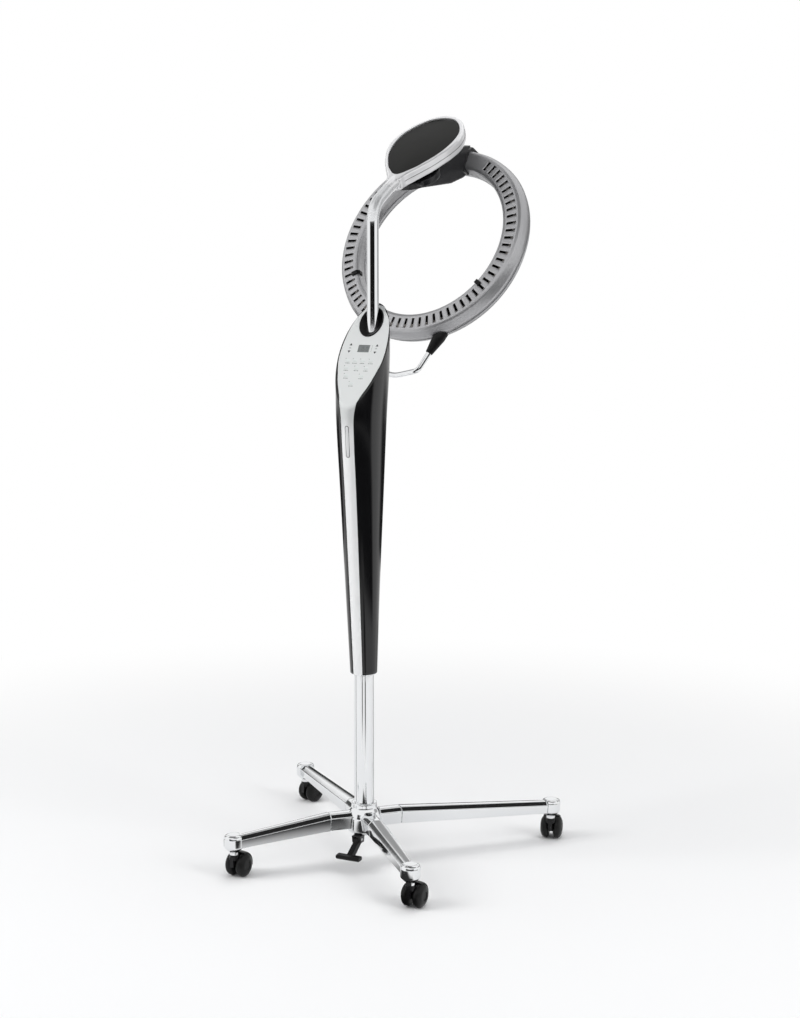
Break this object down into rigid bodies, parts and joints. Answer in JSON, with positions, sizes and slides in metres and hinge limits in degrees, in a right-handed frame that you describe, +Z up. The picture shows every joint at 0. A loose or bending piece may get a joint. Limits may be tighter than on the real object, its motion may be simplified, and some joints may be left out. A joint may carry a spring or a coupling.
{
  "type": "hair color processor",
  "caption": "Ring-shaped infrared hair colour processor: slotted heater ring on a turning head, bent arm, control pod, sliding column and castor base.",
  "frame": {"origin": "on the floor, on the column's axis", "axes": "+Z up along the column; +Y from the column towards the seated client's side, under the head and ring; +X to the right of an operator who stands at -Y and reads the control panel"},
  "size_m": [0.6649, 0.7008, 1.5966],
  "materials": {
    "cast_clamp": "as-cast aluminium",
    "black_moulding": "satin black moulding",
    "chrome_tube": "mirror-polished chrome on steel tube",
    "polished_base": "mirror-polished chrome over die-cast aluminium",
    "steel_shaft": "ground steel",
    "castor_hood": "glossy black nylon",
    "castor_tread": "satin black tyre and wheel",
    "circuit_board": "green laminate",
    "display_lens": "dark grey display window",
    "motor_can": "grey motor case",
    "panel_silver": "silver-white satin membrane and stripe",
    "black_steel": "black powder coat",
    "ceramic_posts": "white ceramic",
    "quartz_tube": "red-tinted quartz heater tube",
    "bush_plastic": "white acetal",
    "housing_gloss_black": "glossy black",
    "pod_gloss_black": "piano black, glossy",
    "reflector_foil": "bright rolled aluminium",
    "rim_silver": "satin silver lacquer",
    "ring_silver_paint": "silver-grey satin lacquer",
    "clear_insert": "clear raised insert",
    "cover_satin_black": "satin black"
  },
  "bodies": {
    "base": {"base_hub": "polished_base", "column_tube": "chrome_tube", "gas_cylinder": "black_steel", "pedal_bracket": "black_steel", "pedal_pin": "steel_shaft", "leg_client_right": "polished_base", "leg_client_left": "polished_base", "leg_operator_right": "polished_base", "leg_operator_left": "polished_base", "leg_end_client_right": "polished_base", "leg_end_client_left": "polished_base", "leg_end_operator_right": "polished_base", "leg_end_operator_left": "polished_base"},
    "pedal": {"pedal_lever": "black_moulding"},
    "lift": {"gas_rod": "steel_shaft"},
    "pod": {"pod_shell": "pod_gloss_black", "face_panel": "panel_silver", "strip_insert": "clear_insert", "display_window": "display_lens", "control_board": "circuit_board", "arm_socket": "black_moulding", "power_inlet": "black_moulding", "mast_sleeve": "black_steel", "lower_bush": "bush_plastic", "upper_bush": "bush_plastic", "bottom_collar": "chrome_tube", "arm_clamp": "cast_clamp", "arm_tube": "chrome_tube", "rim_frame": "rim_silver", "top_cover": "cover_satin_black", "motor_housing": "housing_gloss_black", "drive_motor": "motor_can"},
    "rotor": {"rotor_arm": "housing_gloss_black", "drive_shaft": "steel_shaft", "ring_bracket": "housing_gloss_black", "ring_front_shell": "ring_silver_paint", "ring_back_shell": "ring_silver_paint", "reflector": "reflector_foil", "heater_tube": "quartz_tube", "heater_posts": "ceramic_posts", "lip_clips": "black_moulding", "handle_bar": "chrome_tube", "handle_feet": "black_moulding"},
    "castor_client_right": {"castor_hood_client_right": "castor_hood"},
    "wheels_client_right": {"castor_axle_client_right": "steel_shaft", "castor_wheel_client_right_inner": "castor_tread", "castor_wheel_client_right_outer": "castor_tread"},
    "castor_client_left": {"castor_hood_client_left": "castor_hood"},
    "wheels_client_left": {"castor_axle_client_left": "steel_shaft", "castor_wheel_client_left_inner": "castor_tread", "castor_wheel_client_left_outer": "castor_tread"},
    "castor_operator_right": {"castor_hood_operator_right": "castor_hood"},
    "wheels_operator_right": {"castor_axle_operator_right": "steel_shaft", "castor_wheel_operator_right_inner": "castor_tread", "castor_wheel_operator_right_outer": "castor_tread"},
    "castor_operator_left": {"castor_hood_operator_left": "castor_hood"},
    "wheels_operator_left": {"castor_axle_operator_left": "steel_shaft", "castor_wheel_operator_left_inner": "castor_tread", "castor_wheel_operator_left_outer": "castor_tread"}
  },
  "joints": [
    {"name": "column_height", "type": "slide", "parent": "base", "child": "lift", "axis": [0, 0, 1], "range_m": [-0.24, 0.06]},
    {"name": "mast_swivel", "type": "hinge", "parent": "lift", "child": "pod", "pos_m": [0, 0, 0.7], "axis": [0, 0, 1], "range_deg": [-170, 170]},
    {"name": "ring_rotation", "type": "hinge", "parent": "pod", "child": "rotor", "pos_m": [0, 0.23083, 1.49711], "axis": [0, -0.4664, 0.8846], "continuous": true},
    {"name": "pedal_press", "type": "hinge", "parent": "base", "child": "pedal", "pos_m": [0, -0.032, 0.062], "axis": [1, 0, 0], "range_deg": [0, 10], "stiffness_Nm_per_rad": 2, "springref_deg": -9.74},
    {"name": "swivel_client_right", "type": "hinge", "parent": "base", "child": "castor_client_right", "pos_m": [0.31062, 0.30738, 0.06], "axis": [0, 0, 1], "continuous": true},
    {"name": "roll_client_right", "type": "hinge", "parent": "castor_client_right", "child": "wheels_client_right", "pos_m": [0.30679, 0.32395, 0.025], "axis": [-0.9744, -0.225, 0], "continuous": true},
    {"name": "swivel_client_left", "type": "hinge", "parent": "base", "child": "castor_client_left", "pos_m": [-0.31062, 0.30738, 0.06], "axis": [0, 0, 1], "continuous": true},
    {"name": "roll_client_left", "type": "hinge", "parent": "castor_client_left", "child": "wheels_client_left", "pos_m": [-0.3048, 0.32336, 0.025], "axis": [-0.9397, 0.342, 0], "continuous": true},
    {"name": "swivel_operator_right", "type": "hinge", "parent": "base", "child": "castor_operator_right", "pos_m": [0.20471, -0.20258, 0.06], "axis": [0, 0, 1], "continuous": true},
    {"name": "roll_operator_right", "type": "hinge", "parent": "castor_operator_right", "child": "wheels_operator_right", "pos_m": [0.2059, -0.18562, 0.025], "axis": [-0.9976, 0.0698, 0], "continuous": true},
    {"name": "swivel_operator_left", "type": "hinge", "parent": "base", "child": "castor_operator_left", "pos_m": [-0.20471, -0.20258, 0.06], "axis": [0, 0, 1], "continuous": true},
    {"name": "roll_operator_left", "type": "hinge", "parent": "castor_operator_left", "child": "wheels_operator_left", "pos_m": [-0.20352, -0.18562, 0.025], "axis": [-0.9976, 0.0698, 0], "continuous": true}
  ]
}
